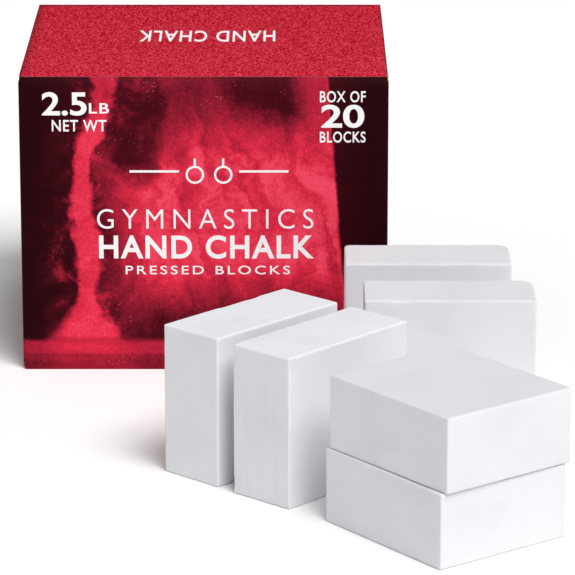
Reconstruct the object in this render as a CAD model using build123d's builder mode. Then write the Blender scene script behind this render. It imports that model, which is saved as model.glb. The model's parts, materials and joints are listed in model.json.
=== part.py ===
from build123d import *
import math
import os

# A pack of gymnastics chalk blocks: a folding carton with a tuck-in lid, fourteen blocks
# still packed in it, and six blocks standing and lying on the table in front.
# Millimetres. +X right, +Y to the carton's back, +Z up.
# Origin: the centre of the carton's base, on the table.

# ---- driving dimensions ----

# one pressed chalk block
block_thick = 32.5
block_long = 76.0
block_high = 67.0
block_edge_radius = 0.9

# the two blocks that face the front are worn round at their back corners
worn_back_left_radius = 2.5
worn_back_right_radius = 7.0

# carton board and outside size
board = 1.5
carton_width = 171.5
carton_depth = 160.0
carton_height = 141.5

# closures
lid_side_gap = 0.4
front_fold_gap = 0.2
tuck_length = 16.0
tuck_corner_radius = 10.0
tuck_side_gap = 3.0
tuck_lean = 6.0
fold_start = 1.9
flap_reach = 45.0
flap_front_gap = 5.5
flap_back_gap = 4.5
flap_front_taper = 8.0
flap_back_taper = 30.0
flap_corner_radius = 5.0
glue_flap_width = 25.0
glue_flap_taper = 10.0

# packing of the blocks inside the carton
columns = 5
rows = 2
layers = 2
column_gap = 0.8
row_gap = 0.2
emptied_columns = 3
packed_left = -82.5
packed_front = -73.9

# loose blocks: one corner on the table, and the turn of the thin side from +X towards -Y
standing_right_corner = (15.6, -256.9)
standing_right_turn = 42.4
standing_left_corner = (-14.6, -227.9)
standing_left_turn = 43.2
stack_corner = (54.7, -292.2)
stack_turn = 52.6
stack_top_shift = (1.6, 0.8)
stack_top_twist = -0.7
face_near_corner = (72.7, -192.4)
face_far_corner = (65.0, -133.6)

# ---- derived levels ----

half_width = carton_width / 2
half_depth = carton_depth / 2
lid_under = carton_height - board
flap_under = lid_under - board
lid_front = -half_depth + board + front_fold_gap
floor_top = 2 * board

os.makedirs("parts", exist_ok=True)


def save(builder, label):
    builder.part.label = label
    export_step(builder.part, f"parts/{label}.step")


def turned_plane(corner, turn, height=0.0):
    """A level plane at a block's corner, its X axis turned clockwise from +X seen from above."""
    angle = math.radians(turn)
    return Plane(
        origin=(corner[0], corner[1], height),
        x_dir=(math.cos(angle), -math.sin(angle), 0),
        z_dir=(0, 0, 1),
    )


def block_on(plane, along_x, along_y, tall):
    """One chalk block with its corner at the plane's origin and all edges slightly worn."""
    with BuildPart(plane) as block:
        Box(along_x, along_y, tall, align=(Align.MIN, Align.MIN, Align.MIN))
        fillet(block.edges(), radius=block_edge_radius)
    return block


def face_block_at(corner):
    """A chalk block on its long narrow side, square to the carton, its back corners worn round."""
    with BuildPart() as block:
        with BuildSketch(Plane.XY) as outline:
            with Locations(corner):
                Rectangle(block_long, block_thick, align=(Align.MIN, Align.MIN))
            corners = outline.vertices().sort_by(Axis.Y)
            front_corners = corners[:2]
            back_left, back_right = corners[2:].sort_by(Axis.X)
            fillet(front_corners, radius=block_edge_radius)
            fillet(back_left, radius=worn_back_left_radius)
            fillet(back_right, radius=worn_back_right_radius)
        extrude(amount=block_high)
        level_edges = block.edges().group_by(Axis.Z)
        fillet(level_edges[0] + level_edges[-1], radius=block_edge_radius)
    return block


def side_flap(outer_x, inward, level):
    """A short flap that folds in from one side panel, tapered towards its free edge."""
    front = -half_depth + flap_front_gap
    back = half_depth - flap_back_gap
    front_step = flap_reach * math.tan(math.radians(flap_front_taper))
    back_step = flap_reach * math.tan(math.radians(flap_back_taper))
    tip = outer_x + inward * flap_reach
    with BuildPart() as flap:
        with BuildSketch(Plane.XY.offset(level)) as outline:
            with BuildLine():
                Polyline(
                    (outer_x, front),
                    (tip, front + front_step),
                    (tip, back - back_step),
                    (outer_x, back),
                    close=True,
                )
            make_face()
            free_corners = outline.vertices().group_by(Axis.X)[-1 if inward > 0 else 0]
            fillet(free_corners, radius=flap_corner_radius)
        extrude(amount=board)
    return flap


# ---- carton walls ----

with BuildPart() as front_panel:
    with BuildSketch(Plane.XZ.offset(half_depth - board)):
        with Locations((0, carton_height / 2)):
            Rectangle(carton_width, carton_height)
    extrude(amount=board)
save(front_panel, "front_panel")

with BuildPart() as back_panel:
    with BuildSketch(Plane.XZ.offset(-half_depth)):
        with Locations((0, carton_height / 2)):
            Rectangle(carton_width, carton_height - 2 * board)
    extrude(amount=board)
save(back_panel, "back_panel")

with BuildPart() as left_side_panel:
    with BuildSketch(Plane.YZ.offset(-half_width)):
        with Locations((0, carton_height / 2)):
            Rectangle(carton_depth - 2 * board, carton_height - 4 * board)
    extrude(amount=board)
save(left_side_panel, "left_side_panel")

with BuildPart() as right_side_panel:
    with BuildSketch(Plane.YZ.offset(half_width - board)):
        with Locations((0, carton_height / 2)):
            Rectangle(carton_depth - 2 * board, carton_height - 4 * board)
    extrude(amount=board)
save(right_side_panel, "right_side_panel")

# The seam: a flap on the back panel's left edge, glued inside the left side panel.
glue_step = glue_flap_width * math.tan(math.radians(glue_flap_taper))
with BuildPart() as glue_flap:
    with BuildSketch(Plane.YZ.offset(-half_width + board)):
        with BuildLine():
            Polyline(
                (half_depth - board, floor_top),
                (half_depth - board - glue_flap_width, floor_top + glue_step),
                (half_depth - board - glue_flap_width, flap_under - glue_step),
                (half_depth - board, flap_under),
                close=True,
            )
        make_face()
    extrude(amount=board)
save(glue_flap, "glue_flap")

# ---- carton bottom: two side flaps under the load, then the full bottom panel ----

left_bottom_flap = side_flap(-half_width, 1, board)
save(left_bottom_flap, "left_bottom_flap")

right_bottom_flap = side_flap(half_width, -1, board)
save(right_bottom_flap, "right_bottom_flap")

with BuildPart() as bottom_panel:
    with BuildSketch(Plane.XY):
        with Locations((0, board / 2)):
            Rectangle(carton_width, carton_depth - board)
    extrude(amount=board)
save(bottom_panel, "bottom_panel")

with BuildPart() as bottom_tuck_flap:
    with BuildSketch(Plane.XZ.offset(half_depth - 2 * board)) as bottom_tuck_outline:
        with Locations((0, board + tuck_length / 2)):
            Rectangle(carton_width - 2 * board - 2 * tuck_side_gap, tuck_length)
        fillet(bottom_tuck_outline.vertices().group_by(Axis.Y)[-1], radius=tuck_corner_radius)
    extrude(amount=board)
save(bottom_tuck_flap, "bottom_tuck_flap")

# ---- carton top: two dust flaps, the lid panel over them, and its tuck flap ----

left_dust_flap = side_flap(-half_width, 1, flap_under)
save(left_dust_flap, "left_dust_flap")

right_dust_flap = side_flap(half_width, -1, flap_under)
save(right_dust_flap, "right_dust_flap")

lid_length = half_depth - lid_front
with BuildPart() as lid_panel:
    with BuildSketch(Plane.XY.offset(lid_under)):
        with Locations((0, half_depth - lid_length / 2)):
            Rectangle(carton_width - 2 * lid_side_gap, lid_length)
    extrude(amount=board)
save(lid_panel, "lid_panel")

# The tuck flap hangs from the lid's front fold and leans in, clear of the front panel.
lean = math.radians(tuck_lean)
tuck_plane = Plane(
    origin=(0, lid_front, carton_height),
    x_dir=(1, 0, 0),
    z_dir=(0, -math.cos(lean), -math.sin(lean)),
)
with BuildPart() as tuck_flap:
    with BuildSketch(tuck_plane) as tuck_outline:
        with Locations((0, -fold_start - tuck_length / 2)):
            Rectangle(carton_width - 2 * board - 2 * tuck_side_gap, tuck_length)
        fillet(tuck_outline.vertices().group_by(Axis.Y)[0], radius=tuck_corner_radius)
    extrude(amount=-board)
save(tuck_flap, "tuck_flap")

# ---- blocks still in the carton: a full lower layer, and an upper one taken from the left ----

packed_number = 0
for layer in range(layers):
    for row in range(rows):
        for column in range(columns):
            if layer == layers - 1 and column < emptied_columns:
                continue
            packed_number += 1
            corner = (
                packed_left + column * (block_thick + column_gap),
                packed_front + row * (block_long + row_gap),
            )
            plane = turned_plane(corner, 0.0, floor_top + layer * block_high)
            packed_block = block_on(plane, block_thick, block_long, block_high)
            save(packed_block, f"packed_block_{packed_number:02d}")

# ---- the six blocks taken out ----

standing_block_right = block_on(
    turned_plane(standing_right_corner, standing_right_turn),
    block_thick,
    block_long,
    block_high,
)
save(standing_block_right, "standing_block_right")

standing_block_left = block_on(
    turned_plane(standing_left_corner, standing_left_turn),
    block_thick,
    block_long,
    block_high,
)
save(standing_block_left, "standing_block_left")

stack_plane = turned_plane(stack_corner, stack_turn)
stack_bottom_block = block_on(stack_plane, block_long, block_high, block_thick)
save(stack_bottom_block, "stack_bottom_block")

stack_top_start = stack_plane.from_local_coords(Vector(stack_top_shift[0], stack_top_shift[1], 0))
stack_top_block = block_on(
    turned_plane(
        (stack_top_start.X, stack_top_start.Y),
        stack_turn + stack_top_twist,
        block_thick,
    ),
    block_long,
    block_high,
    block_thick,
)
save(stack_top_block, "stack_top_block")

face_block_near = face_block_at(face_near_corner)
save(face_block_near, "face_block_near")

face_block_far = face_block_at(face_far_corner)
save(face_block_far, "face_block_far")
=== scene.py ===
import json
import math

import bmesh
import bpy
from mathutils import Matrix, Vector, noise


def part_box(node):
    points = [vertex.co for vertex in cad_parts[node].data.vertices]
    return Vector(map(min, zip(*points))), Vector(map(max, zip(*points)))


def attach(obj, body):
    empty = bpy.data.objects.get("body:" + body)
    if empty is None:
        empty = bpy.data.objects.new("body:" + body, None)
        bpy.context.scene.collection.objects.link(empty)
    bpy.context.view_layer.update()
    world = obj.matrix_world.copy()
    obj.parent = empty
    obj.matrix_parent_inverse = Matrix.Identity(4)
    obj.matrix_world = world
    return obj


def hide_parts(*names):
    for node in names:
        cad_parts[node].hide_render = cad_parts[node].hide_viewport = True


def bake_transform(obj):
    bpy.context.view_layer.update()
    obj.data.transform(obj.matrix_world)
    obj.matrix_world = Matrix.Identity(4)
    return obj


# A pack of gymnastics chalk blocks: a printed tuck-top carton, six blocks taken out of it and
# fourteen still inside. Metres, in the CAD model's frame: +X right, +Y to the carton's back.

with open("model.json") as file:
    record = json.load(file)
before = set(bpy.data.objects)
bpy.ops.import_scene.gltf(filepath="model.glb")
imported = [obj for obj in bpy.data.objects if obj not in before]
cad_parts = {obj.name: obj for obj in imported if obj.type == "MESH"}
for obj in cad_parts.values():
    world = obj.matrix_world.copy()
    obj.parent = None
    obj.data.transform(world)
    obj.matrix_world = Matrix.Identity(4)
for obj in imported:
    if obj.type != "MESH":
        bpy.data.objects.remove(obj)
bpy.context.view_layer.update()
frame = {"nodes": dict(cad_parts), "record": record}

MM = 0.001

# ---- places read from the CAD model ----

FRONT_LOW, FRONT_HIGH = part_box("front_panel")
BACK_LOW, BACK_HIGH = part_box("back_panel")
LID_LOW, LID_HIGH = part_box("lid_panel")
LEFT_LOW, LEFT_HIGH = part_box("left_side_panel")
RIGHT_LOW, RIGHT_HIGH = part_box("right_side_panel")

BOARD = LID_HIGH.z - LID_LOW.z
WIDTH = FRONT_HIGH.x - FRONT_LOW.x
DEPTH = BACK_HIGH.y - FRONT_LOW.y
HEIGHT = FRONT_HIGH.z
HALF_WIDTH = WIDTH / 2
HALF_DEPTH = DEPTH / 2

# ---- how the board is folded and how far it bends ----

SHEET = BOARD - 0.1 * MM
SHEET_GRID = (28, 20)
CORNER_RADIUS = 2.0 * MM
CORNER_STEPS = 5
WALL_CUTS = 19
FOLD_STEPS = 8
FOLD_CUTS = 24
FOLD_LAP = 0.35 * MM
FRONT_BOW = 0.45 * MM
SIDE_BOW = 0.35 * MM
LID_SAG = 0.7 * MM
FLAP_DROOP = 0.65 * MM
GLUE_LAYER = 0.15 * MM
FLUTE_PITCH = 3.2 * MM
TUCK_CORNER = 10 * MM
TUCK_LEAN = 6.0
FLAP_BACK_TAPER = 30.0
FLAP_FRONT_TAPER = 8.0
FLAP_TIP_BEVEL = 1.2 * MM
GLUE_FLAP_TAPER = 10.0

# ---- the printed foot band ----

BAND_TOP = 14.5 * MM
BAND_SEAM = 7.6 * MM

# ---- how the chalk blocks are shaped and worn ----

BLOCK_ROUND = 0.80 * MM
PACKED_CELL = 3.0 * MM
LOOSE_CELL = 0.95 * MM
RIM_REACH = 0.55 * MM
SHOULDER_REACH = 2.2 * MM
CHIP_DEPTH = 1.6 * MM

# the face blocks' back corners are worn round: (corner's signs in the block's axes, radius)
WORN_ROUND = (((1, -1), 7.0 * MM), ((1, 1), 2.5 * MM))


# ---- camera, floor and lights ----

def set_camera():
    data = bpy.data.cameras.new("camera")
    data.sensor_width = 36.0
    data.lens = 244.0
    camera = bpy.data.objects.new("camera", data)
    camera.location = (0.0389, -1.8355, 0.5525)
    camera.rotation_euler = (math.radians(90.0 - 16.27), 0.0, 0.0)
    bpy.context.scene.collection.objects.link(camera)
    bpy.context.scene.camera = camera


def far_light(name, azimuth, elevation, softness, strength):
    """A broad light from far off; azimuth turns from the front towards the right, in degrees."""
    data = bpy.data.lights.new(name, "SUN")
    data.angle = math.radians(softness)
    data.energy = strength
    turn = math.radians(azimuth)
    rise = math.radians(elevation)
    direction = Vector(
        (math.sin(turn) * math.cos(rise), -math.cos(turn) * math.cos(rise), math.sin(rise))
    )
    light = bpy.data.objects.new(name, data)
    light.location = direction
    light.rotation_euler = (-direction).to_track_quat("-Z", "Y").to_euler()
    bpy.context.scene.collection.objects.link(light)


def set_studio():
    """An even pale room, one broad key light from the front right, and a white floor."""
    world = bpy.data.worlds.new("pale_room")
    world.use_nodes = True
    world.node_tree.nodes["Background"].inputs["Color"].default_value = (1.0, 1.0, 1.0, 1.0)
    world.node_tree.nodes["Background"].inputs["Strength"].default_value = 0.28
    bpy.context.scene.world = world
    bpy.context.scene.view_settings.view_transform = "Standard"
    far_light("key_light", 31.0, 57.0, 34.0, 2.74)

    plate = bmesh.new()
    bmesh.ops.create_grid(plate, x_segments=1, y_segments=1, size=20.0)
    floor = piece_from(plate, "floor")
    finish = Finish("white_floor", roughness=0.9, specular=0.0)
    finish.colour((1.0, 1.0, 1.0))
    floor.data.materials.append(finish.material)


# ---- making pieces ----

def piece_from(bm, name, smooth=False):
    """Turns a bmesh into an object at the origin."""
    mesh = bpy.data.meshes.new(name)
    bm.to_mesh(mesh)
    bm.free()
    if smooth:
        mesh.shade_smooth()
    made = bpy.data.objects.new(name, mesh)
    bpy.context.scene.collection.objects.link(made)
    return made


def dress(made, body, slot, *materials):
    """Gives a piece its materials and the CAD body it rides on; slot is not used."""
    for material in materials:
        made.data.materials.append(material)
    if body:
        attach(made, body)


def thicken(made, thickness):
    """Gives a sheet the board's thickness on its inner side, bare inside and cut at its rim."""
    solid = made.modifiers.new("board", "SOLIDIFY")
    solid.thickness = thickness
    solid.offset = -1.0
    solid.use_even_offset = True
    solid.material_offset = 1
    solid.material_offset_rim = 2


class Finish:
    """A material with short calls for the nodes that it is made of."""

    def __init__(self, name, roughness, specular=0.5):
        self.material = bpy.data.materials.new(name)
        self.material.use_nodes = True
        self.nodes = self.material.node_tree.nodes
        self.links = self.material.node_tree.links
        self.shader = self.nodes["Principled BSDF"]
        self.shader.inputs["Roughness"].default_value = roughness
        self.shader.inputs["Specular IOR Level"].default_value = specular

    def feed(self, socket, value):
        if isinstance(value, bpy.types.NodeSocket):
            self.links.new(value, socket)
        elif isinstance(value, tuple) and socket.type == "RGBA":
            socket.default_value = (*value, 1.0)
        else:
            socket.default_value = value

    def add(self, kind, inputs, **settings):
        node = self.nodes.new("ShaderNode" + kind)
        for key, value in settings.items():
            setattr(node, key, value)
        for key, value in inputs.items():
            self.feed(node.inputs[key], value)
        return node

    def place(self):
        """The piece's own coordinates, in metres."""
        return self.add("TexCoord", {}).outputs["Object"]

    def attribute(self, name):
        return self.add("Attribute", {}, attribute_name=name).outputs["Vector"]

    def split(self, vector):
        parts = self.add("SeparateXYZ", {0: vector})
        return parts.outputs["X"], parts.outputs["Y"], parts.outputs["Z"]

    def join(self, x, y, z=0.0):
        return self.add("CombineXYZ", {0: x, 1: y, 2: z}).outputs[0]

    def math(self, operation, a, b=0.0, c=0.0):
        return self.add("Math", {0: a, 1: b, 2: c}, operation=operation).outputs[0]

    def rise(self, value, start, end):
        """0 before start, 1 after end, smooth between; start may be the larger."""
        inputs = {"Value": value, "From Min": start, "From Max": end}
        node = self.add("MapRange", inputs, interpolation_type="SMOOTHSTEP")
        return node.outputs["Result"]

    def stretch(self, vector, factors):
        inputs = {0: vector, 1: factors}
        return self.add("VectorMath", inputs, operation="MULTIPLY").outputs["Vector"]

    def cloud(self, vector, scale, detail=3.0, roughness=0.55, distortion=0.0):
        inputs = {
            "Vector": vector,
            "Scale": scale,
            "Detail": detail,
            "Roughness": roughness,
            "Distortion": distortion,
        }
        return self.add("TexNoise", inputs).outputs["Fac"]

    def specks(self, vector, scale, radius):
        """Small round specks, one at most in each cell."""
        cells = self.add("TexVoronoi", {"Vector": vector, "Scale": scale})
        return self.rise(cells.outputs["Distance"], radius, radius * 0.4)

    def grain(self, vector, scale):
        """Print grain, from -0.5 to 0.5, a new value in every small cell."""
        cells = self.add("TexVoronoi", {"Vector": vector, "Scale": scale})
        return self.math("SUBTRACT", self.split(cells.outputs["Color"])[0], 0.5)

    def blend(self, share, low, high):
        inputs = {"Factor": share, 6: low, 7: high}
        return self.add("Mix", inputs, data_type="RGBA").outputs[2]

    def shades(self, value, stops):
        """A colour ramp from (position, colour) pairs."""
        node = self.add("ValToRGB", {"Fac": value})
        ramp = node.color_ramp
        while len(ramp.elements) < len(stops):
            ramp.elements.new(0.5)
        for element, (position, colour) in zip(ramp.elements, stops):
            element.position = position
            element.color = (*colour, 1.0)
        return node.outputs["Color"]

    def colour(self, value):
        self.feed(self.shader.inputs["Base Color"], value)

    def bump(self, height, distance, strength=1.0):
        """Adds relief, on top of any that is there already; distance in metres."""
        node = self.add("Bump", {"Height": height, "Distance": distance, "Strength": strength})
        socket = self.shader.inputs["Normal"]
        if socket.links:
            self.feed(node.inputs["Normal"], socket.links[0].from_socket)
        self.feed(socket, node.outputs["Normal"])


# ---- finishes ----

def chalk_finish():
    """Pressed magnesium carbonate: white, dead matt, with press marks and powdery grain."""
    finish = Finish("pressed_chalk", roughness=0.95, specular=0.12)
    place = finish.attribute("block_place")
    _, end_share, top_share = finish.split(finish.attribute("face_share"))
    # per vertex: rims and chips drawn lighter (rubbed chalk, partly a painted edge highlight), how
    # clear the press marks are, and painted shade on level faces
    wear_and_highlight, press, top_shade = finish.split(finish.attribute("edge_wear_and_painted_light"))
    end_share = finish.math("MULTIPLY", end_share, press)

    end_marks = finish.cloud(finish.stretch(place, (1250.0, 1250.0, 16.0)), 1.0, 3.0, 0.6)
    top_marks = finish.cloud(finish.stretch(place, (620.0, 20.0, 620.0)), 1.0, 3.0, 0.6)
    mottle = finish.cloud(place, 38.0, 4.0)
    powder = finish.cloud(place, 1300.0, 3.0, 0.7)
    pit_shade = finish.specks(place, 210.0, 0.10)

    marks = finish.math("MULTIPLY", finish.math("SUBTRACT", end_marks, 0.5), end_share)
    brushed = finish.math("MULTIPLY", finish.math("SUBTRACT", top_marks, 0.5), top_share)
    tone = finish.math("MULTIPLY_ADD", mottle, 0.40, 0.30)
    tone = finish.math("MULTIPLY_ADD", marks, 0.36, tone)
    tone = finish.math("MULTIPLY_ADD", brushed, 0.22, tone)
    tone = finish.math("MULTIPLY_ADD", finish.math("SUBTRACT", powder, 0.5), 0.30, tone)
    body = finish.shades(
        tone,
        [(0.20, (0.69, 0.69, 0.73)), (0.50, (0.80, 0.80, 0.835)), (0.80, (0.87, 0.87, 0.90))],
    )
    # painted shade: small darker specks for the shade inside pits in the chalk
    body = finish.blend(finish.math("MULTIPLY", pit_shade, 0.12), body, (0.62, 0.62, 0.66))
    # painted shade: the level faces of the blocks that lie flat are drawn greyer
    body = finish.blend(top_shade, body, (0.60, 0.60, 0.62))
    # rims and chips drawn lighter: rubbed chalk, and partly a painted highlight along the edges
    finish.colour(finish.blend(finish.math("MULTIPLY", wear_and_highlight, 0.25), body, (0.92, 0.92, 0.94)))
    finish.bump(marks, 0.11 * MM, 0.8)
    finish.bump(brushed, 0.10 * MM, 0.6)
    finish.bump(powder, 0.06 * MM, 0.6)
    return finish.material


def outside_oval(finish, side, level, centre, reach, edge):
    """0 inside a soft oval and 1 outside it; edge is where it starts and ends, 1 at its reach."""
    wide = finish.math("MULTIPLY", finish.math("SUBTRACT", side, centre[0]), 1 / reach[0])
    tall = finish.math("MULTIPLY", finish.math("SUBTRACT", level, centre[1]), 1 / reach[1])
    apart = finish.math("MULTIPLY_ADD", wide, wide, finish.math("MULTIPLY", tall, tall))
    return finish.rise(apart, *edge)


def plume_print(finish, side, level, up, billow):
    """The tall plume at the left, bent half way up, spread low down and with a wispy halo."""
    line = finish.math("MULTIPLY_ADD", finish.rise(up, 85 * MM, 142 * MM), -12 * MM, 57 * MM)
    line = finish.math("MULTIPLY_ADD", finish.rise(up, 70 * MM, 30 * MM), -4 * MM, line)
    apart = finish.math("ABSOLUTE", finish.math("ADD", side, line))
    foot = finish.rise(level, 36 * MM, 10 * MM)
    spread = finish.math("MULTIPLY_ADD", foot, 13 * MM, 5.2 * MM)
    plume = finish.rise(finish.math("DIVIDE", apart, spread), 1.40, 0.65)
    halo = finish.rise(apart, 30 * MM, 4 * MM)
    halo = finish.math("MULTIPLY", halo, finish.rise(billow, 0.42, 0.72))
    plume = finish.math("MULTIPLY", plume, 0.84)
    return finish.math("MAXIMUM", plume, finish.math("MULTIPLY", halo, 0.62))


def broad_print(finish, side, level, up, drift):
    """The broad cloud in the middle: brightest at half height, with folds and two dark hollows."""
    left = finish.rise(side, -55 * MM, -26 * MM)
    top = finish.math("MULTIPLY_ADD", finish.rise(level, 128 * MM, 96 * MM), 0.58, 0.36)
    base = finish.rise(level, 16 * MM, 58 * MM)
    broad = finish.math("MULTIPLY", finish.math("MULTIPLY", left, top), base)
    slant = finish.math("MULTIPLY_ADD", drift, 0.05, side)
    slant = finish.math("MULTIPLY_ADD", up, 0.22, slant)
    folds = finish.cloud(finish.join(finish.math("MULTIPLY", slant, 7.5), up), 15.0, 3.0, 0.5)
    folds = finish.rise(folds, 0.30, 0.66)
    broad = finish.math("MULTIPLY", broad, finish.math("MULTIPLY_ADD", folds, 0.36, 0.68))
    for centre, reach, edge in (
        ((-31 * MM, 119 * MM), (13 * MM, 28 * MM), (0.35, 1.5)),
        ((32 * MM, 140 * MM), (24 * MM, 18 * MM), (0.30, 1.6)),
    ):
        clear = outside_oval(finish, side, level, centre, reach, edge)
        broad = finish.math("MULTIPLY", broad, clear)
    return finish.math("MULTIPLY", broad, 1.08)


def column_print(finish, gap):
    """The column at the right, with a pale line just inside its edge; gap is 0 at the edge."""
    column = finish.math("MULTIPLY", finish.rise(gap, -22 * MM, -6 * MM), 0.66)
    apart = finish.math("ABSOLUTE", finish.math("ADD", gap, 1.2 * MM))
    return finish.math("MULTIPLY_ADD", finish.rise(apart, 1.4 * MM, 0.0), 0.13, column)


def cloud_print(finish, across, up):
    """How bright the printed chalk cloud is, 0 to 1, at a place on a main panel.

    across is 0 at the panel's middle and up is the height above the table, both in metres."""
    flat = finish.join(across, up)
    drift = finish.math("SUBTRACT", finish.cloud(flat, 24.0, 4.0, 0.55), 0.5)
    wisp = finish.math("SUBTRACT", finish.cloud(flat, 85.0, 6.0, 0.68), 0.5)
    billow = finish.cloud(flat, 36.0, 6.0, 0.66, 1.1)
    side = finish.math("MULTIPLY_ADD", drift, 22 * MM, across)
    side = finish.math("MULTIPLY_ADD", wisp, 12 * MM, side)
    level = finish.math("MULTIPLY_ADD", wisp, 20 * MM, up)

    # the cloud ends at the right in a nearly straight edge that leans inwards
    edge = finish.math("MULTIPLY_ADD", up, -0.075, 68.5 * MM)
    gap = finish.math("SUBTRACT", finish.math("MULTIPLY_ADD", wisp, 3 * MM, across), edge)
    broad = broad_print(finish, side, level, up, drift)
    glow = finish.math("MAXIMUM", broad, column_print(finish, gap))
    glow = finish.math("MULTIPLY", glow, finish.rise(gap, 0.8 * MM, -1.2 * MM))

    glow = finish.math("MAXIMUM", glow, plume_print(finish, side, level, up, billow))
    glow = finish.math("MULTIPLY", glow, finish.rise(billow, -0.15, 0.62))
    shade = finish.math("MULTIPLY_ADD", finish.rise(up, 112 * MM, 141 * MM), -0.30, 1.0)
    glow = finish.math("MULTIPLY", glow, shade)
    haze = finish.rise(finish.math("ABSOLUTE", across), 80 * MM, 40 * MM)
    haze = finish.math("MULTIPLY", haze, finish.math("MULTIPLY_ADD", billow, 0.34, 0.02))
    return finish.math("MULTIPLY_ADD", glow, finish.math("SUBTRACT", 1.0, haze), haze)


def foot_band(finish, flat, up):
    """The red band round the carton's foot: streaky, darker below a thin seam."""
    upper = finish.rise(up, BAND_SEAM - 1.2 * MM, BAND_SEAM + 0.8 * MM)
    band = finish.math("MULTIPLY_ADD", upper, 0.15, 0.38)
    apart = finish.math("ABSOLUTE", finish.math("SUBTRACT", up, BAND_SEAM))
    band = finish.math("MULTIPLY_ADD", finish.rise(apart, 0.9 * MM, 0.0), -0.08, band)
    below_top = finish.rise(up, BAND_TOP + 1.7 * MM, BAND_TOP - 1.7 * MM)
    band = finish.math("MULTIPLY", band, below_top)
    streaks = finish.cloud(finish.stretch(flat, (30.0, 320.0, 1.0)), 1.0, 4.0, 0.6)
    return finish.math("MULTIPLY", band, finish.math("MULTIPLY_ADD", streaks, 0.7, 0.65))


def print_bump(finish, flat):
    """The faint orange peel of a laminated board."""
    finish.bump(finish.cloud(flat, 900.0, 2.0), 0.02 * MM, 0.35)


def wall_print_finish():
    """The carton's outside print: dark maroon, a chalk cloud front and back, a red foot band."""
    finish = Finish("printed_wall", roughness=0.5, specular=0.02)
    around, up, _ = finish.split(finish.add("UVMap", {}, uv_map="print").outputs["UV"])
    back = finish.math("GREATER_THAN", around, HALF_WIDTH + DEPTH)
    across = finish.math("SUBTRACT", around, finish.math("MULTIPLY", back, WIDTH + DEPTH))
    flat = finish.join(around, up)

    inside_band = finish.rise(up, BAND_TOP + 2.3 * MM, BAND_TOP - 1.5 * MM)
    fade = finish.math("MULTIPLY_ADD", inside_band, -0.80, 1.0)
    band = foot_band(finish, flat, up)
    glow = finish.math("MULTIPLY_ADD", cloud_print(finish, across, up), fade, band)
    grain = finish.grain(flat, 2100.0)
    coarse = finish.math("SUBTRACT", finish.cloud(flat, 430.0, 3.0, 0.7), 0.5)
    gritty = finish.math("MULTIPLY_ADD", grain, 0.13, finish.math("MULTIPLY", coarse, 0.24))
    gritty = finish.math("MULTIPLY", gritty, finish.rise(glow, -0.05, 0.40))
    ink = finish.shades(
        finish.math("ADD", gritty, glow),
        [
            (0.00, (0.0215, 0.0020, 0.0038)),
            (0.20, (0.068, 0.0035, 0.0095)),
            (0.40, (0.24, 0.010, 0.026)),
            (0.60, (0.49, 0.017, 0.045)),
            (0.80, (0.77, 0.028, 0.068)),
            (1.00, (0.94, 0.075, 0.138)),
        ],
    )
    dust = finish.specks(flat, 560.0, 0.17)
    dust = finish.math("MULTIPLY", dust, finish.rise(finish.cloud(flat, 60.0, 3.0), 0.50, 0.64))
    dust = finish.math("MULTIPLY", dust, finish.rise(glow, 0.04, 0.25))
    finish.colour(finish.blend(finish.math("MULTIPLY", dust, 0.55), ink, (0.92, 0.28, 0.34)))
    print_bump(finish, flat)
    return finish.material


def lid_print_finish():
    """The crimson top, with a fine two-tone grain in the print and dark ink round its rim."""
    finish = Finish("printed_lid", roughness=0.5, specular=0.01)
    place = finish.place()
    across, depth, _ = finish.split(place)
    grain = finish.grain(finish.stretch(place, (1.0, 0.36, 1.0)), 2050.0)
    coarse = finish.cloud(finish.stretch(place, (1.0, 0.6, 1.0)), 700.0, 2.0, 0.6)
    tone = finish.math("MULTIPLY_ADD", grain, 0.90, finish.math("MULTIPLY", coarse, 0.9))
    # painted light: the top is drawn lighter towards its front edge
    front_light = finish.rise(depth, 70 * MM, -80 * MM)
    tone = finish.math("MULTIPLY_ADD", front_light, 0.07, tone)
    ink = finish.shades(
        tone,
        [
            (0.10, (0.33, 0.001, 0.005)),
            (0.45, (0.51, 0.004, 0.021)),
            (0.85, (0.74, 0.058, 0.104)),
        ],
    )
    side_rim = finish.rise(finish.math("ABSOLUTE", across), LID_HIGH.x - 0.8 * MM, LID_HIGH.x)
    back_rim = finish.rise(depth, HALF_DEPTH - 2.6 * MM, HALF_DEPTH - 1.0 * MM)
    rim = finish.math("MAXIMUM", side_rim, back_rim)
    finish.colour(finish.blend(finish.math("MULTIPLY", rim, 0.7), ink, (0.055, 0.004, 0.008)))
    print_bump(finish, place)
    return finish.material


def bare_board_finish():
    """The unprinted kraft inside of the board, with fibres, flute lines and chalk dust."""
    finish = Finish("bare_board", roughness=0.88, specular=0.2)
    place = finish.place()
    across, _, up = finish.split(place)
    fibres = finish.cloud(finish.stretch(place, (260.0, 1400.0, 260.0)), 1.0, 4.0, 0.7)
    flakes = finish.cloud(place, 900.0, 3.0, 0.6)
    tone = finish.math("MULTIPLY_ADD", flakes, 0.4, finish.math("MULTIPLY", fibres, 0.6))
    board = finish.shades(
        tone, [(0.34, (0.36, 0.235, 0.135)), (0.52, (0.47, 0.325, 0.20)), (0.68, (0.57, 0.42, 0.28))]
    )
    powder = finish.rise(finish.cloud(place, 55.0, 6.0, 0.7), 0.50, 0.72)
    low = finish.rise(up, 90 * MM, 0.0)
    share = finish.math("MULTIPLY", powder, finish.math("MULTIPLY_ADD", low, 0.55, 0.08))
    finish.colour(finish.blend(share, board, (0.82, 0.81, 0.80)))
    flute = finish.math("SINE", finish.math("MULTIPLY", across, 2 * math.pi / FLUTE_PITCH))
    finish.bump(flute, 0.03 * MM, 0.4)
    finish.bump(flakes, 0.03 * MM, 0.4)
    return finish.material


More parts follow.
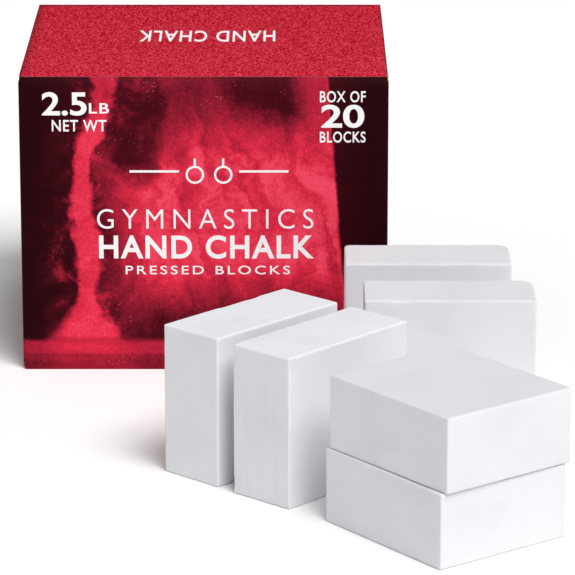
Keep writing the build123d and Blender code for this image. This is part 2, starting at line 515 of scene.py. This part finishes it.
def cut_edge_finish(name, dark, light, flute_shade_colour):
    """The board's cut edge: two liners with dark painted shade for the flutes' open hollows between
    them.
    """
    finish = Finish(name, roughness=0.9, specular=0.15)
    place = finish.place()
    across, depth, up = finish.split(place)
    run = finish.math("ADD", finish.math("ADD", across, depth), up)
    wave = finish.math("SINE", finish.math("MULTIPLY", run, 2 * math.pi / FLUTE_PITCH))
    # painted shade: dark bands where the flutes' hollows open on the edge
    flute_shade = finish.rise(wave, 0.15, 0.75)
    torn = finish.cloud(place, 1100.0, 3.0, 0.7)
    paper = finish.blend(torn, dark, light)
    finish.colour(finish.blend(finish.math("MULTIPLY", flute_shade, 0.5), paper, flute_shade_colour))
    finish.bump(torn, 0.05 * MM, 0.5)
    return finish.material


def white_ink_finish():
    """White ink over the print, a little uneven."""
    finish = Finish("white_ink", roughness=0.45, specular=0.3)
    patchy = finish.cloud(finish.place(), 700.0, 3.0, 0.6)
    finish.colour(finish.shades(patchy, [(0.30, (0.94, 0.93, 0.93)), (0.55, (1.0, 0.99, 0.99))]))
    return finish.material


# ---- the carton's sleeve ----

def wall_bow(middle, reach, up):
    """The share of a wall's bow that it has at a point: 1 in its middle, 0 at its folds."""
    sideways = math.cos(min(abs(middle) / reach, 1.0) * math.pi / 2)
    return sideways * math.sin(math.pi * min(max(up / HEIGHT, 0.0), 1.0))


def front_face(x, z):
    """The y of the front panel's printed face."""
    return -HALF_DEPTH - FRONT_BOW * wall_bow(x, HALF_WIDTH, z)


def around_carton(x, y):
    """The distance round the sleeve from the front panel's middle, and the wall it is on."""
    gaps = {
        "front": abs(y + HALF_DEPTH),
        "right": abs(x - HALF_WIDTH),
        "back": abs(y - HALF_DEPTH),
        "left": abs(x + HALF_WIDTH),
    }
    wall = min(gaps, key=gaps.get)
    distance = {
        "front": x,
        "right": HALF_WIDTH + y + HALF_DEPTH,
        "back": 2 * HALF_WIDTH + DEPTH - x,
        "left": -(HALF_WIDTH + y + HALF_DEPTH),
    }
    return distance[wall], wall


def sleeve_outline(bm):
    """The walls' foot line seen from above, from the seam round the front and back to it."""
    corners = [
        ((-HALF_WIDTH, -HALF_DEPTH), 180.0),
        ((HALF_WIDTH, -HALF_DEPTH), 270.0),
        ((HALF_WIDTH, HALF_DEPTH), 0.0),
    ]
    seam = HALF_DEPTH - CORNER_RADIUS
    path = [(-HALF_WIDTH, seam)]
    for (x, y), start in corners:
        centre_x = x - math.copysign(CORNER_RADIUS, x)
        centre_y = y - math.copysign(CORNER_RADIUS, y)
        for step in range(CORNER_STEPS + 1):
            angle = math.radians(start + 90.0 / CORNER_STEPS * step)
            path.append(
                (
                    centre_x + CORNER_RADIUS * math.cos(angle),
                    centre_y + CORNER_RADIUS * math.sin(angle),
                )
            )
    path.append((-HALF_WIDTH + 0.5 * MM, HALF_DEPTH))
    verts = [bm.verts.new((x, y, 0.0)) for x, y in path]
    for first, second in zip(verts, verts[1:]):
        bm.edges.new((first, second))


def make_sleeve(finishes):
    """The four walls, folded from one printed sheet with rounded corners and a lapped seam."""
    bm = bmesh.new()
    sleeve_outline(bm)
    long_edges = [e for e in bm.edges if e.calc_length() > 0.5 * DEPTH]
    bmesh.ops.subdivide_edges(bm, edges=long_edges, cuts=WALL_CUTS)
    raised = bmesh.ops.extrude_edge_only(bm, edges=bm.edges[:])
    top_verts = {v for v in raised["geom"] if isinstance(v, bmesh.types.BMVert)}
    tops = {"front": HEIGHT, "back": BACK_HIGH.z, "left": LEFT_HIGH.z, "right": RIGHT_HIGH.z}
    feet = {"front": 0.0, "back": BACK_LOW.z, "left": LEFT_LOW.z, "right": RIGHT_LOW.z}
    for vert in bm.verts:
        wall = around_carton(vert.co.x, vert.co.y)[1]
        vert.co.z = tops[wall] if vert in top_verts else feet[wall]
    upright = [e for e in bm.edges if abs(e.verts[0].co.z - e.verts[1].co.z) > 0.5 * HEIGHT]
    bmesh.ops.subdivide_edges(bm, edges=upright, cuts=WALL_CUTS, use_grid_fill=True)
    bmesh.ops.recalc_face_normals(bm, faces=bm.faces[:])
    bm.normal_update()
    foremost = min(bm.faces, key=lambda f: f.calc_center_median().y)
    if foremost.normal.y > 0:
        bmesh.ops.reverse_faces(bm, faces=bm.faces[:])

    print_map = bm.loops.layers.uv.new("print")
    for face in bm.faces:
        middle = face.calc_center_median()
        seam_side = middle.x < 0 and middle.y > HALF_DEPTH - CORNER_RADIUS
        for loop in face.loops:
            distance, wall = around_carton(loop.vert.co.x, loop.vert.co.y)
            if seam_side and wall == "left":
                distance = 2 * HALF_WIDTH + DEPTH + HALF_WIDTH
            loop[print_map].uv = (distance, loop.vert.co.z)
    for vert in bm.verts:
        x, y, z = vert.co
        wall = around_carton(x, y)[1]
        if wall == "front":
            vert.co.y = y - FRONT_BOW * wall_bow(x, HALF_WIDTH, z)
        elif wall == "back":
            vert.co.y = y - SIDE_BOW * wall_bow(x, HALF_WIDTH, z)
        else:
            vert.co.x = x + SIDE_BOW * wall_bow(y, HALF_DEPTH, z)
    sleeve = piece_from(bm, "carton_sleeve", smooth=True)
    dress(sleeve, "carton", "printed_board_dark", *finishes)
    thicken(sleeve, SHEET)
    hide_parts("front_panel", "back_panel", "left_side_panel", "right_side_panel")


# ---- flaps, lid and folds ----

def board_sheet(name, body, slot, finishes, place, size, cuts=(), droop=0.0, sag=0.0):
    """A sheet of board. place is (fold's middle, across, away from the fold), outside up.

    cuts are (point, outward direction) pairs in the sheet's own plane that trim its outline.
    droop lowers its free edge, and sag its middle."""
    start, across, away = (Vector(part) for part in place)
    width, length = size
    bm = bmesh.new()
    bmesh.ops.create_grid(bm, x_segments=SHEET_GRID[0], y_segments=SHEET_GRID[1], size=0.5)
    bmesh.ops.translate(bm, verts=bm.verts, vec=(0.0, 0.5, 0.0))
    bmesh.ops.scale(bm, verts=bm.verts, vec=(width, length, 1.0))
    for point, outward in cuts:
        bmesh.ops.bisect_plane(
            bm,
            geom=bm.verts[:] + bm.edges[:] + bm.faces[:],
            plane_co=(*point, 0.0),
            plane_no=(*outward, 0.0),
            clear_outer=True,
        )
    for vert in bm.verts:
        u = vert.co.x / (width / 2)
        v = vert.co.y / length
        vert.co.z = -sag * math.cos(u * math.pi / 2) * math.sin(v * math.pi) - droop * v
    turned = Matrix((across, away, across.cross(away))).transposed().to_4x4()
    bmesh.ops.transform(bm, matrix=Matrix.Translation(start) @ turned, verts=bm.verts)
    sheet = piece_from(bm, name, smooth=True)
    dress(sheet, body, slot, *finishes)
    thicken(sheet, SHEET)
    return sheet


def corner_cuts(width, length, radius):
    """Cuts that round the two free corners of a sheet."""
    cuts = []
    for side in (-1, 1):
        for step in range(1, 6):
            angle = math.radians(15.0 * step)
            outward = (side * math.cos(angle), math.sin(angle))
            centre = (side * (width / 2 - radius), length - radius)
            point = (centre[0] + outward[0] * radius, centre[1] + outward[1] * radius)
            cuts.append((point, outward))
    return cuts


def fold_strip(name, bodies, slot, finishes, centre, first, second, line, length):
    """The rounded bend between two sheets: a quarter tube from direction first to second.

    With two bodies the strip rides on neither and stays where it is made; with one it is fixed to
    that body."""
    centre, first, second, line = (Vector(part) for part in (centre, first, second, line))
    bm = bmesh.new()
    arc = [centre + first * BOARD - second * FOLD_LAP]
    for step in range(FOLD_STEPS + 1):
        angle = math.radians(90.0 / FOLD_STEPS * step)
        arc.append(centre + (first * math.cos(angle) + second * math.sin(angle)) * BOARD)
    arc.append(centre + second * BOARD - first * FOLD_LAP)
    verts = [bm.verts.new(point - line * (length / 2)) for point in arc]
    for one, other in zip(verts, verts[1:]):
        bm.edges.new((one, other))
    raised = bmesh.ops.extrude_edge_only(bm, edges=bm.edges[:])
    moved = [v for v in raised["geom"] if isinstance(v, bmesh.types.BMVert)]
    bmesh.ops.translate(bm, verts=moved, vec=line * length)
    along = [e for e in bm.edges if e.calc_length() > 0.5 * length]
    bmesh.ops.subdivide_edges(bm, edges=along, cuts=FOLD_CUTS, use_grid_fill=True)
    bm.normal_update()
    bm.faces.ensure_lookup_table()
    face = bm.faces[len(bm.faces) // 2]
    if face.normal.dot(face.calc_center_median() - centre) < 0:
        bmesh.ops.reverse_faces(bm, faces=bm.faces[:])
    strip = piece_from(bm, name, smooth=True)
    bends = len(bodies) > 1
    dress(strip, None if bends else bodies[0], slot, *finishes)
    thicken(strip, SHEET)
    if bends:
        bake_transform(strip)


def make_lid(finishes):
    """The top panel, its front fold and tuck flap, and the fold it hinges on."""
    front_bend = Vector((0.0, LID_LOW.y + BOARD, LID_LOW.z))
    back_bend = Vector((0.0, HALF_DEPTH - BOARD, LID_LOW.z))
    width = LID_HIGH.x - LID_LOW.x
    lid = board_sheet(
        "lid_top",
        "lid",
        "printed_board_red",
        finishes,
        ((0.0, back_bend.y, LID_HIGH.z), (-1.0, 0.0, 0.0), (0.0, -1.0, 0.0)),
        (width, back_bend.y - front_bend.y),
        sag=LID_SAG,
    )
    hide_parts("lid_panel")
    fold_strip(
        "lid_hinge_fold",
        ("carton", "lid"),
        "printed_board_red",
        finishes,
        back_bend,
        (0, 1, 0),
        (0, 0, 1),
        (1, 0, 0),
        width,
    )
    fold_strip(
        "tuck_fold_bend",
        ("tuck", "lid"),
        "printed_board_red",
        finishes,
        front_bend,
        (0, -1, 0),
        (0, 0, 1),
        (1, 0, 0),
        width - 2 * MM,
    )
    low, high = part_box("tuck_flap")
    top = Vector((0.0, LID_LOW.y, LID_LOW.z - 0.2 * MM))
    lean = math.radians(TUCK_LEAN)
    down = Vector((0.0, math.sin(lean), -math.cos(lean)))
    length = (top.z - low.z) / math.cos(lean)
    size = (high.x - low.x, length)
    tuck = board_sheet(
        "tuck_flap_sheet",
        "tuck",
        "printed_board_red",
        finishes,
        (top, (-1.0, 0.0, 0.0), down),
        size,
        cuts=corner_cuts(*size, TUCK_CORNER),
    )
    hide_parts("tuck_flap")


def make_side_flap(node, body, side, finishes, upper=False):
    """A dust flap or bottom flap with its fold; side is -1 at the left and 1 at the right."""
    low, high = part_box(node)
    slot = "printed_board_red" if upper else "bare_board"
    fold_x = side * (HALF_WIDTH - BOARD)
    reach = high.x - low.x - BOARD
    width = high.y - low.y
    middle = (low.y + high.y) / 2
    inward = Vector((-side, 0.0, 0.0))
    level = high.z if upper else low.z
    facing = 1 if upper else -1
    across = Vector((0.0, side * facing, 0.0))
    back = across.y
    cuts = []
    for end, taper in ((back, FLAP_BACK_TAPER), (-back, FLAP_FRONT_TAPER)):
        slope = math.radians(taper)
        outward = (end * math.cos(slope), math.sin(slope))
        cuts.append(((end * width / 2, -BOARD), outward))
        tip = width / 2 - reach * math.tan(slope)
        corner = (end * (tip - FLAP_TIP_BEVEL), reach - FLAP_TIP_BEVEL)
        cuts.append((corner, (end * math.sqrt(0.5), math.sqrt(0.5))))
    flap = board_sheet(
        node + "_sheet",
        body,
        slot,
        finishes,
        (Vector((fold_x, middle, level)), across, inward),
        (width, reach),
        cuts=cuts,
        droop=FLAP_DROOP if upper else 0.0,
    )
    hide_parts(node)
    bend = Vector((fold_x, middle, high.z - BOARD if upper else low.z + BOARD))
    upward = Vector((0.0, 0.0, facing))
    bodies = ("carton", body) if upper else (body,)
    fold_strip(
        node + "_fold",
        bodies,
        slot,
        finishes,
        bend,
        (side, 0, 0),
        upward,
        (0, 1, 0),
        width - 1.0 * MM,
    )


def make_bottom(finishes):
    """The full bottom panel, its back fold, its glued tuck flap and the two flaps above it."""
    low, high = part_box("bottom_panel")
    bottom = board_sheet(
        "bottom_sheet",
        "carton",
        "bare_board",
        finishes,
        ((0.0, HALF_DEPTH - BOARD, low.z), (1.0, 0.0, 0.0), (0.0, -1.0, 0.0)),
        (high.x - low.x, high.y - low.y - BOARD),
    )
    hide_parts("bottom_panel")
    fold_strip(
        "bottom_back_fold",
        ("carton",),
        "printed_board_dark",
        finishes,
        (0.0, HALF_DEPTH - BOARD, BOARD),
        (0, 1, 0),
        (0, 0, -1),
        (1, 0, 0),
        high.x - low.x,
    )
    low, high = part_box("bottom_tuck_flap")
    size = (high.x - low.x, high.z - low.z)
    tuck = board_sheet(
        "bottom_tuck_sheet",
        "carton",
        "bare_board",
        finishes,
        ((0.0, low.y, low.z), (1.0, 0.0, 0.0), (0.0, 0.0, 1.0)),
        size,
        cuts=corner_cuts(*size, TUCK_CORNER),
    )
    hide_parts("bottom_tuck_flap")
    for side, word in ((-1, "left"), (1, "right")):
        make_side_flap(f"{word}_bottom_flap", "carton", side, finishes)


def make_glue_flap(finishes):
    """The seam's flap, glued to the inside of the left wall."""
    low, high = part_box("glue_flap")
    width = high.z - low.z
    reach = high.y - low.y
    slope = math.radians(GLUE_FLAP_TAPER)
    cuts = []
    for end in (-1, 1):
        cuts.append(((end * width / 2, 0.0), (end * math.cos(slope), math.sin(slope))))
    flap = board_sheet(
        "glue_flap_sheet",
        "carton",
        "bare_board",
        finishes,
        ((low.x + GLUE_LAYER, high.y, (low.z + high.z) / 2), (0.0, 0.0, -1.0), (0.0, -1.0, 0.0)),
        (width, reach),
        cuts=cuts,
    )
    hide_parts("glue_flap")


# ---- lettering and ornament, plain and generic ----

def on_front(u, v, lift):
    return Vector((u, front_face(u, v) - lift, v))


def on_back(u, v, lift):
    return Vector((-u, HALF_DEPTH - SIDE_BOW * wall_bow(u, HALF_WIDTH, v) + lift, v))


def on_right(u, v, lift):
    return Vector((HALF_WIDTH + SIDE_BOW * wall_bow(u, HALF_DEPTH, v) + lift, u, v))


def on_left(u, v, lift):
    return Vector((SIDE_BOW * wall_bow(u, HALF_DEPTH, v) - HALF_WIDTH - lift, -u, v))


def on_lid(u, v, lift):
    """On the top panel, drawn to be read from the back."""
    u, v = -u, -v
    half_length = (HALF_DEPTH - BOARD - LID_LOW.y - BOARD) / 2
    middle = LID_LOW.y + BOARD + half_length
    across = math.cos(u / LID_HIGH.x * math.pi / 2)
    along = math.cos((v - middle) / half_length * math.pi / 2)
    return Vector((u, v, LID_HIGH.z - LID_SAG * across * along + lift))


# the ink's height over the board, its underside's share of that, and how thick it is drawn
INK_LIFT = 0.07 * MM
INK_FOOT = 0.1
FLAT_RAISE = 0.01

# each face: how flat artwork is laid on it, the body it rides on and its slot
FACES = {
    "front": (on_front, "carton", "printed_board_dark"),
    "back": (on_back, "carton", "printed_board_dark"),
    "left": (on_left, "carton", "printed_board_dark"),
    "right": (on_right, "carton", "printed_board_dark"),
    "lid": (on_lid, "lid", "printed_board_red"),
}

# text, piece, face, middle and size in mm, stroke weight, letter gap
LETTERING = [
    ("2.5", "front_weight", "front", (-64.5, 128.7), (20.8, 11.2), 0.020, 1.0),
    ("LB", "front_unit", "front", (-48.4, 126.6), (9.3, 4.9), 0.012, 1.1),
    ("NET WT", "front_net", "front", (-57.7, 118.3), (25.4, 5.5), 0.012, 1.1),
    ("BOX OF", "front_box", "front", (64.5, 132.1), (21.2, 5.4), 0.014, 1.1),
    ("20", "front_number", "front", (64.5, 122.8), (20.0, 11.1), 0.022, 1.0),
    ("BLOCKS", "front_blocks", "front", (64.5, 112.9), (21.2, 5.3), 0.014, 1.1),
    ("GYMNASTICS", "front_title_upper", "front", (0.5, 73.6), (101.0, 9.5), -0.006, 1.45),
    ("HAND CHALK", "front_title_lower", "front", (1.0, 60.0), (100.5, 11.4), 0.024, 1.12),
    ("PRESSED BLOCKS", "front_subtitle", "front", (1.6, 48.8), (77.0, 4.2), 0.006, 1.3),
    ("HAND CHALK", "back_title", "back", (0.0, 70.0), (90.0, 10.5), 0.036, 1.05),
    ("KEEP DRY", "back_note", "back", (0.0, 55.0), (38.0, 4.4), 0.008, 1.3),
    ("20 BLOCKS", "left_note", "left", (0.0, 62.0), (58.0, 7.4), 0.010, 1.2),
    ("20 BLOCKS", "right_note", "right", (0.0, 62.0), (58.0, 7.4), 0.010, 1.2),
    ("HAND CHALK", "lid_title", "lid", (0.0, -9.0), (66.0, 24.0), 0.012, 1.12),
]

# piece, face, middle in mm, scale
ORNAMENTS = [
    ("front_ornament", "front", (2.4, 96.5), 1.0),
    ("back_ornament", "back", (0.0, 92.0), 1.0),
    ("left_ornament", "left", (0.0, 82.0), 0.8),
    ("right_ornament", "right", (0.0, 82.0), 0.8),
]


def lay_ink(bm, name, face, ink):
    """Wraps flat artwork, drawn in X and Y, on to one of the carton's faces."""
    surface, body, slot = FACES[face]
    for vert in bm.verts:
        flat = vert.co.copy()
        vert.co = surface(flat.x, flat.y, INK_LIFT * (1.0 if flat.z > 0 else INK_FOOT))
    dress(piece_from(bm, name), body, slot, ink)


def words(text, name, face, centre, size, weight, gap, ink):
    """A line of plain capitals fitted to a width and height."""
    curve = bpy.data.curves.new(name, "FONT")
    curve.body = text
    curve.space_character = gap
    curve.offset = weight
    curve.extrude = FLAT_RAISE
    curve.resolution_u = 5
    holder = bpy.data.objects.new(name + "_outline", curve)
    bpy.context.scene.collection.objects.link(holder)
    bpy.context.view_layer.update()
    shape = bpy.data.meshes.new_from_object(holder)
    bpy.data.objects.remove(holder)
    bm = bmesh.new()
    bm.from_mesh(shape)
    bpy.data.meshes.remove(shape)
    bmesh.ops.remove_doubles(bm, verts=bm.verts, dist=0.0001)
    low = Vector(tuple(min(v.co[i] for v in bm.verts) for i in range(3)))
    high = Vector(tuple(max(v.co[i] for v in bm.verts) for i in range(3)))
    middle = (low + high) / 2
    bmesh.ops.translate(bm, verts=bm.verts, vec=(-middle.x, -middle.y, -middle.z))
    grow = (size[0] * MM / (high.x - low.x), size[1] * MM / (high.y - low.y), 1.0)
    bmesh.ops.scale(bm, verts=bm.verts, vec=grow)
    bmesh.ops.translate(bm, verts=bm.verts, vec=(centre[0] * MM, centre[1] * MM, 0.0))
    lay_ink(bm, name, face, ink)


def ring_shape(bm, centre, outer, inner):
    """A flat ring."""
    loops = []
    for radius in (outer, inner):
        made = bmesh.ops.create_circle(bm, segments=40, radius=radius)
        bmesh.ops.translate(bm, verts=made["verts"], vec=(centre[0], centre[1], 0.0))
        loops += list({edge for vert in made["verts"] for edge in vert.link_edges})
    bmesh.ops.bridge_loops(bm, edges=loops)


def bar_shape(bm, centre, width, height):
    """A flat bar, cut into short lengths so that it follows a bowed wall."""
    made = bmesh.ops.create_grid(bm, x_segments=6, y_segments=1, size=0.5)
    bmesh.ops.scale(bm, verts=made["verts"], vec=(width, height, 1.0))
    bmesh.ops.translate(bm, verts=made["verts"], vec=(centre[0], centre[1], 0.0))


def ornament(name, face, centre, scale, ink):
    """Two gymnastic rings on straps between two bars."""
    unit = MM * scale
    bm = bmesh.new()
    for side in (-1, 1):
        ring = (side * 6.6 * unit, -1.6 * unit)
        ring_shape(bm, ring, 4.3 * unit, 3.3 * unit)
        bar_shape(bm, (ring[0], ring[1] + 6.0 * unit), 1.0 * unit, 3.6 * unit)
        bar_shape(bm, (side * 25.5 * unit, 0.0), 23.0 * unit, 1.1 * unit)
    bmesh.ops.translate(bm, verts=bm.verts, vec=(centre[0] * MM, centre[1] * MM, 0.0))
    bmesh.ops.recalc_face_normals(bm, faces=bm.faces[:])
    raised = bmesh.ops.extrude_face_region(bm, geom=bm.faces[:])
    lifted = [v for v in raised["geom"] if isinstance(v, bmesh.types.BMVert)]
    bmesh.ops.translate(bm, verts=lifted, vec=(0.0, 0.0, FLAT_RAISE))
    bmesh.ops.recalc_face_normals(bm, faces=bm.faces[:])
    lay_ink(bm, name, face, ink)


def make_lettering(ink):
    for line in LETTERING:
        words(*line, ink)
    for piece in ORNAMENTS:
        ornament(*piece, ink)


# ---- chalk blocks ----

def block_axes(node):
    """A block's middle, its own three directions and its three sizes, read from its CAD node."""
    mesh = frame["nodes"][node].data
    upright = [p for p in mesh.polygons if abs(p.normal.z) < 0.01]
    broad = max(upright, key=lambda p: p.area).normal.copy()
    if broad.x < 0 or (abs(broad.x) < 0.01 and broad.y < 0):
        broad.negate()
    axes = [broad, Vector((0.0, 0.0, 1.0)).cross(broad), Vector((0.0, 0.0, 1.0))]
    middle = Vector((0.0, 0.0, 0.0))
    sizes = []
    for axis in axes:
        reach = [v.co.dot(axis) for v in mesh.vertices]
        middle += axis * (min(reach) + max(reach)) / 2
        sizes.append(max(reach) - min(reach))
    return middle, axes, sizes


def edges_along(bm, direction, at_least):
    """The mesh edges that run along one of the block's directions."""
    found = []
    for edge in bm.edges:
        run = edge.verts[1].co - edge.verts[0].co
        if run.length > at_least and abs(run.normalized().dot(direction)) > 0.999:
            found.append(edge)
    return found


def worn_depth(point, half, offset):
    """How far rubbing and chips take the surface in at a point, in metres, and how much lighter it
    is drawn: rubbed chalk, partly a painted highlight along the edges.
    """
    gaps = sorted(half[i] - abs(point[i]) for i in range(3))
    edge_gap = max(gaps[1], 0.0)
    here = point + offset
    swell = noise.noise(here * 45.0)
    grit = noise.noise(here * 420.0)
    nibble = noise.noise(here * 150.0 + Vector((7.0, 3.0, 1.0)))
    rim = math.exp(-edge_gap / RIM_REACH)
    shoulder = math.exp(-edge_gap / SHOULDER_REACH)
    chip = max(noise.noise(here * 85.0 + Vector((2.0, 9.0, 4.0))) - 0.42, 0.0)
    depth = 0.07 * MM * (1.0 + swell) + 0.012 * MM * (1.0 + grit)
    depth += rim * MM * (0.03 + 0.16 * max(nibble, 0.0))
    depth += shoulder * chip * CHIP_DEPTH
    # the second value lightens rims and chips: partly rubbed chalk, partly a painted edge highlight
    return depth, min(rim * (0.70 + 0.6 * nibble) + shoulder * chip * 2.0, 1.0)


def round_corner(point, half, corner, radius):
    """Moves a point near one upright corner of a block on to a round of the given radius."""
    x = point.x * corner[0] - (half[0] - radius)
    y = point.y * corner[1] - (half[1] - radius)
    if x > 0 and y > 0:
        pull = max(x, y) / math.hypot(x, y)
        point.x = corner[0] * (half[0] - radius + x * pull)
        point.y = corner[1] * (half[1] - radius + y * pull)


def make_block(node, body, seed, cell, marks, top_shade, chalk):
    """One pressed block: rounded and lightly rubbed along its edges, its faces not quite flat.

    marks is how clear the press marks on its ends are, and top_shade how much painted shade greys
    its level faces."""
    middle, axes, sizes = block_axes(node)
    thick, high, long = sorted(range(3), key=lambda i: sizes[i])
    half = [size / 2 for size in sizes]
    offset = Vector((0.37 * seed, 0.61 * seed, 0.23 * seed))

    bm = bmesh.new()
    bmesh.ops.create_cube(bm, size=1.0)
    bmesh.ops.scale(bm, verts=bm.verts, vec=sizes)
    bmesh.ops.bevel(
        bm,
        geom=bm.edges[:],
        offset=BLOCK_ROUND,
        offset_type="OFFSET",
        affect="EDGES",
        segments=4,
        profile=0.5,
        material=-1,
    )
    for index in range(3):
        direction = Vector((0.0, 0.0, 0.0))
        direction[index] = 1.0
        cuts = max(round(sizes[index] / cell) - 1, 1)
        runs = edges_along(bm, direction, 0.5 * sizes[index])
        bmesh.ops.subdivide_edges(bm, edges=runs, cuts=cuts, use_grid_fill=True)
    if node.startswith("face"):
        for corner, radius in WORN_ROUND:
            for vert in bm.verts:
                round_corner(vert.co, half, corner, radius)
    bm.normal_update()

    place = bm.verts.layers.float_vector.new("block_place")
    share = bm.verts.layers.float_vector.new("face_share")
    wear_and_painted_light = bm.verts.layers.float_vector.new("edge_wear_and_painted_light")
    for vert in bm.verts:
        point = vert.co.copy()
        normal = vert.normal.copy()
        depth, rub_and_highlight = worn_depth(point, half, offset)
        vert[place] = Vector((point[thick], point[long], point[high])) + offset
        vert[share] = Vector((abs(normal[thick]), abs(normal[long]), abs(normal[high])))
        # first value: lighter rims and chips, partly a painted edge highlight; third value: painted
        # shade greying the level faces
        vert[wear_and_painted_light] = Vector((rub_and_highlight, marks, top_shade * abs(normal.z)))
        vert.co = point - normal * depth
    turned = Matrix(axes).transposed().to_4x4()
    bmesh.ops.transform(bm, matrix=Matrix.Translation(middle) @ turned, verts=bm.verts)
    block = piece_from(bm, node + "_chalk", smooth=True)
    dress(block, body, "chalk", chalk)
    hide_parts(node)


def make_blocks(chalk):
    bodies = frame["record"]["behaviour"]["bodies"]
    seed = 1
    for body, nodes in bodies.items():
        for node in nodes:
            if "block" not in node:
                continue
            standing = node.startswith("standing")
            marks = 1.0 if standing else 0.2
            # painted shade greys the level faces of the blocks that lie flat
            top_shade = 0.0 if standing else 0.30
            cell = PACKED_CELL if node.startswith("packed") else LOOSE_CELL
            make_block(node, body, seed, cell, marks, top_shade, chalk)
            seed += 1


# ---- the whole pack ----

set_camera()
set_studio()

wall_print = wall_print_finish()
lid_print = lid_print_finish()
bare_board = bare_board_finish()
# the last colour of each cut edge is the painted shade in the flutes' openings
cut_edge = cut_edge_finish("cut_edge", (0.50, 0.35, 0.23), (0.68, 0.54, 0.40), (0.16, 0.09, 0.05))
inked_edge = cut_edge_finish(
    "inked_cut_edge", (0.34, 0.030, 0.045), (0.62, 0.115, 0.145), (0.16, 0.012, 0.02)
)
white_ink = white_ink_finish()
chalk = chalk_finish()

make_sleeve((wall_print, bare_board, inked_edge))
make_lid((lid_print, bare_board, inked_edge))
dust_flap = (lid_print, bare_board, cut_edge)
make_side_flap("left_dust_flap", "left_dust", -1, dust_flap, upper=True)
make_side_flap("right_dust_flap", "right_dust", 1, dust_flap, upper=True)
make_bottom((bare_board, bare_board, cut_edge))
make_glue_flap((bare_board, bare_board, cut_edge))
make_lettering(white_ink)
make_blocks(chalk)
